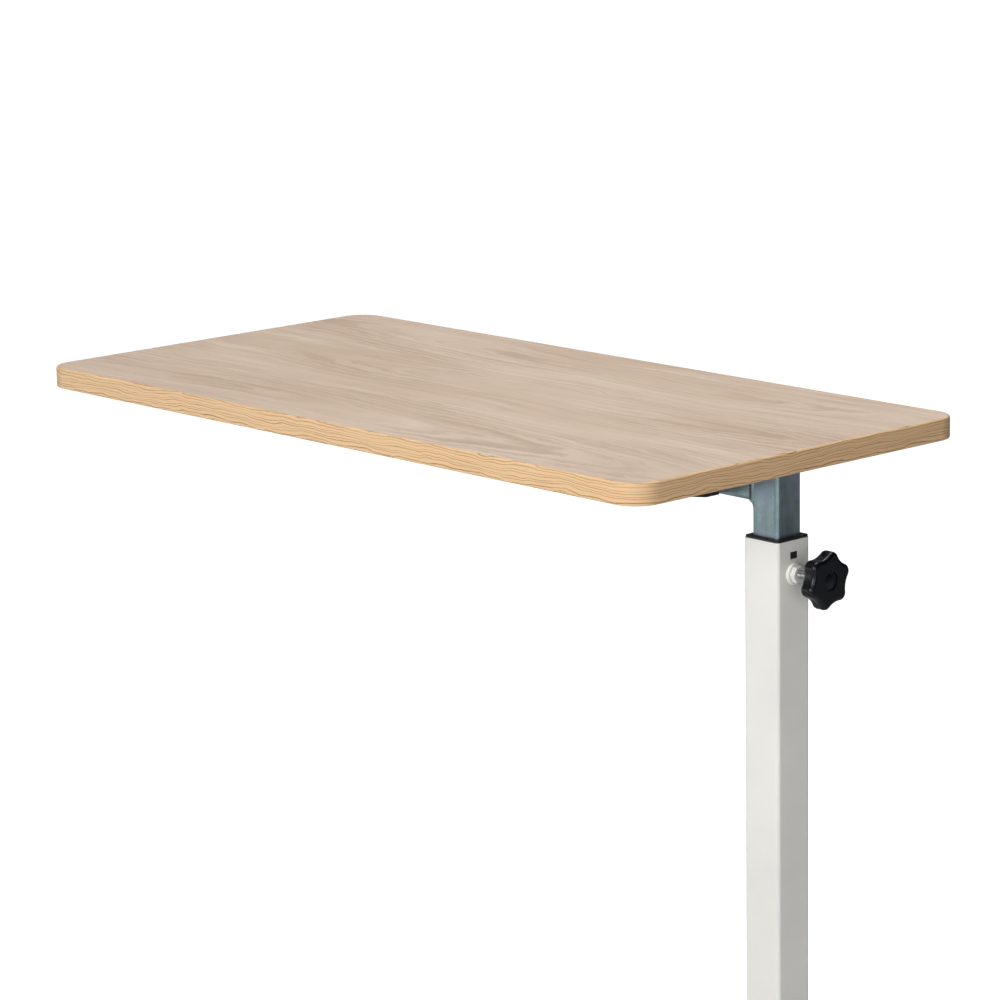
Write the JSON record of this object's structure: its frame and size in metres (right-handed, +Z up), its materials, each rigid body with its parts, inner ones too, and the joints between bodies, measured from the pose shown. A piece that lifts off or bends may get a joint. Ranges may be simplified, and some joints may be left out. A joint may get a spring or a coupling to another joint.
{
  "type": "overbed table",
  "caption": "Height-adjustable overbed table: ash-look laminate top on a telescopic square mast, held by a star-knob clamp, on a wheeled base.",
  "frame": {"origin": "centre of the whole table's footprint box, on the floor", "axes": "+X along the top towards the mast, +Y across the top, +Z up"},
  "size_m": [0.8284, 0.4, 0.7706],
  "materials": {
    "wood_laminate": "satin",
    "wood_edge": "satin",
    "backing_laminate": "matte",
    "board": "matte",
    "zinc_steel": "satin",
    "zinc_fastener": "satin",
    "black_steel": "satin",
    "white_powder_coat": "satin",
    "black_plastic": "matte",
    "knob_plastic": "satin",
    "castor_plastic": "satin",
    "wheel_plastic": "satin",
    "wheel_rubber": "matte",
    "pedal_plastic": "satin"
  },
  "bodies": {
    "base": {"outer_mast_tube": "white_powder_coat", "mast_bush": "black_plastic", "mast_flange": "white_powder_coat", "mast_gussets": "white_powder_coat", "mast_foot_weld": "white_powder_coat", "mast_bolts": "zinc_fastener", "mast_washers": "zinc_fastener", "mast_bolt_nuts": "zinc_fastener", "clamp_nut": "white_powder_coat", "clamp_nut_weld": "white_powder_coat", "base_crossbar": "white_powder_coat", "base_leg_left": "white_powder_coat", "base_leg_right": "white_powder_coat", "leg_end_caps": "black_plastic", "castor_sockets": "zinc_fastener", "castor_stems": "zinc_fastener"},
    "table_top": {"table_core": "board", "top_laminate": "wood_laminate", "bottom_laminate": "backing_laminate", "edge_band": "wood_edge", "crossbar_screws": "zinc_fastener", "arm_screws": "zinc_fastener", "crossbar_inner": "black_steel", "crossbar_outer": "black_steel", "support_arm": "zinc_steel", "arm_end_plug": "black_plastic", "inner_mast_tube": "zinc_steel", "mast_glide": "black_plastic", "arm_weld": "zinc_steel"},
    "clamp_pad_carrier": {"clamp_pad": "zinc_fastener"},
    "clamp_screw": {"clamp_stud": "zinc_fastener", "knob": "knob_plastic", "knob_insert": "zinc_fastener", "knob_cover": "knob_plastic"},
    "castor_1": {"castor_1_housing": "castor_plastic", "castor_1_brake_pin": "zinc_fastener"},
    "castor_1_rolling": {"castor_1_axle": "zinc_fastener", "castor_1_wheels": "wheel_plastic", "castor_1_tyres": "wheel_rubber"},
    "castor_1_brake": {"castor_1_brake_pedal": "pedal_plastic"},
    "castor_2": {"castor_2_housing": "castor_plastic", "castor_2_brake_pin": "zinc_fastener"},
    "castor_2_rolling": {"castor_2_axle": "zinc_fastener", "castor_2_wheels": "wheel_plastic", "castor_2_tyres": "wheel_rubber"},
    "castor_2_brake": {"castor_2_brake_pedal": "pedal_plastic"},
    "castor_3": {"castor_3_housing": "castor_plastic"},
    "castor_3_rolling": {"castor_3_axle": "zinc_fastener", "castor_3_wheels": "wheel_plastic", "castor_3_tyres": "wheel_rubber"},
    "castor_4": {"castor_4_housing": "castor_plastic"},
    "castor_4_rolling": {"castor_4_axle": "zinc_fastener", "castor_4_wheels": "wheel_plastic", "castor_4_tyres": "wheel_rubber"}
  },
  "joints": [
    {"name": "height_slide", "type": "slide", "parent": "base", "child": "table_top", "axis": [0, 0, 1], "range_m": [-0.018, 0.335]},
    {"name": "clamp_travel", "type": "slide", "parent": "base", "child": "clamp_pad_carrier", "axis": [1, 0, 0], "range_m": [0, 0.00125]},
    {"name": "clamp_turn", "type": "hinge", "parent": "clamp_pad_carrier", "child": "clamp_screw", "pos_m": [0.402, 0, 0.661], "axis": [1, 0, 0], "range_deg": [0, 361]},
    {"name": "castor_1_swivel", "type": "hinge", "parent": "base", "child": "castor_1", "pos_m": [0.366, -0.172, 0.05], "axis": [0, 0, 1], "continuous": true},
    {"name": "castor_1_roll", "type": "hinge", "parent": "castor_1", "child": "castor_1_rolling", "pos_m": [0.344, -0.172, 0.025], "axis": [0, 1, 0], "continuous": true},
    {"name": "castor_1_brake_rock", "type": "hinge", "parent": "castor_1", "child": "castor_1_brake", "pos_m": [0.3154, -0.172, 0.04357], "axis": [0, -1, 0], "range_deg": [0, 14]},
    {"name": "castor_2_swivel", "type": "hinge", "parent": "base", "child": "castor_2", "pos_m": [0.366, 0.172, 0.05], "axis": [0, 0, 1], "continuous": true},
    {"name": "castor_2_roll", "type": "hinge", "parent": "castor_2", "child": "castor_2_rolling", "pos_m": [0.344, 0.172, 0.025], "axis": [0, 1, 0], "continuous": true},
    {"name": "castor_2_brake_rock", "type": "hinge", "parent": "castor_2", "child": "castor_2_brake", "pos_m": [0.3154, 0.172, 0.04357], "axis": [0, -1, 0], "range_deg": [0, 14]},
    {"name": "castor_3_swivel", "type": "hinge", "parent": "base", "child": "castor_3", "pos_m": [-0.109, -0.172, 0.05], "axis": [0, 0, 1], "continuous": true},
    {"name": "castor_3_roll", "type": "hinge", "parent": "castor_3", "child": "castor_3_rolling", "pos_m": [-0.131, -0.172, 0.025], "axis": [0, 1, 0], "continuous": true},
    {"name": "castor_4_swivel", "type": "hinge", "parent": "base", "child": "castor_4", "pos_m": [-0.109, 0.172, 0.05], "axis": [0, 0, 1], "continuous": true},
    {"name": "castor_4_roll", "type": "hinge", "parent": "castor_4", "child": "castor_4_rolling", "pos_m": [-0.131, 0.172, 0.025], "axis": [0, 1, 0], "continuous": true}
  ],
  "couplings": [
    {"joint": "clamp_turn", "follows": "clamp_travel", "rad_per_m": 5026.5}
  ]
}
